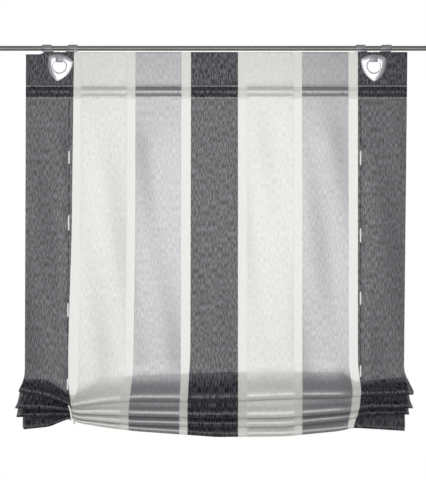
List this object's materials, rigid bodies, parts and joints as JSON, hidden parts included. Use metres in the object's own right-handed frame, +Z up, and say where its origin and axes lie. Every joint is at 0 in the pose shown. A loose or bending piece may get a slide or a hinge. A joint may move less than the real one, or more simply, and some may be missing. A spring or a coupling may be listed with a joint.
{
  "type": "tie-up blind",
  "caption": "Striped tie-up blind hung by eyelets from hangers on a round rail, its lower part gathered in soft pleats by laced cords.",
  "frame": {"origin": "on the rail's axis, above the middle of the blind", "axes": "+X along the rail to the right as seen from the room, +Y away from the room, +Z up"},
  "size_m": [1.15, 0.0513, 1.0244],
  "materials": {
    "rail_metal": "satin anodised grey",
    "hanger_plastic": "satin grey",
    "eyelet_silver": "satin silver plated",
    "rod_plastic": "plain white",
    "striped_fabric": "woven satin stripes in anthracite, cream, silver grey and sheer white",
    "cord_fabric": "white woven cord"
  },
  "bodies": {
    "rail": {"rail": "rail_metal"},
    "left_hanger": {"hanger_left": "hanger_plastic"},
    "right_hanger": {"hanger_right": "hanger_plastic"},
    "blind": {"striped_cloth": "striped_fabric", "header_rod": "rod_plastic", "eyelet_front_left": "eyelet_silver", "eyelet_front_right": "eyelet_silver", "eyelet_back_left": "eyelet_silver", "eyelet_back_right": "eyelet_silver", "tie_cord_left": "cord_fabric", "tie_cord_right": "cord_fabric", "cord_knot_left": "cord_fabric", "cord_knot_right": "cord_fabric"}
  },
  "joints": [
    {"name": "left_hanger_slide", "type": "slide", "parent": "rail", "child": "left_hanger", "axis": [1, 0, 0], "range_m": [-0.06, 0.06]},
    {"name": "right_hanger_slide", "type": "slide", "parent": "rail", "child": "right_hanger", "axis": [1, 0, 0], "range_m": [-0.06, 0.06]},
    {"name": "blind_swing", "type": "hinge", "parent": "left_hanger", "child": "blind", "pos_m": [-0.412, -0.01675, -0.031], "axis": [1, 0, 0], "range_deg": [-6, 6]}
  ],
  "couplings": [
    {"joint": "right_hanger_slide", "follows": "left_hanger_slide", "ratio": 1}
  ]
}
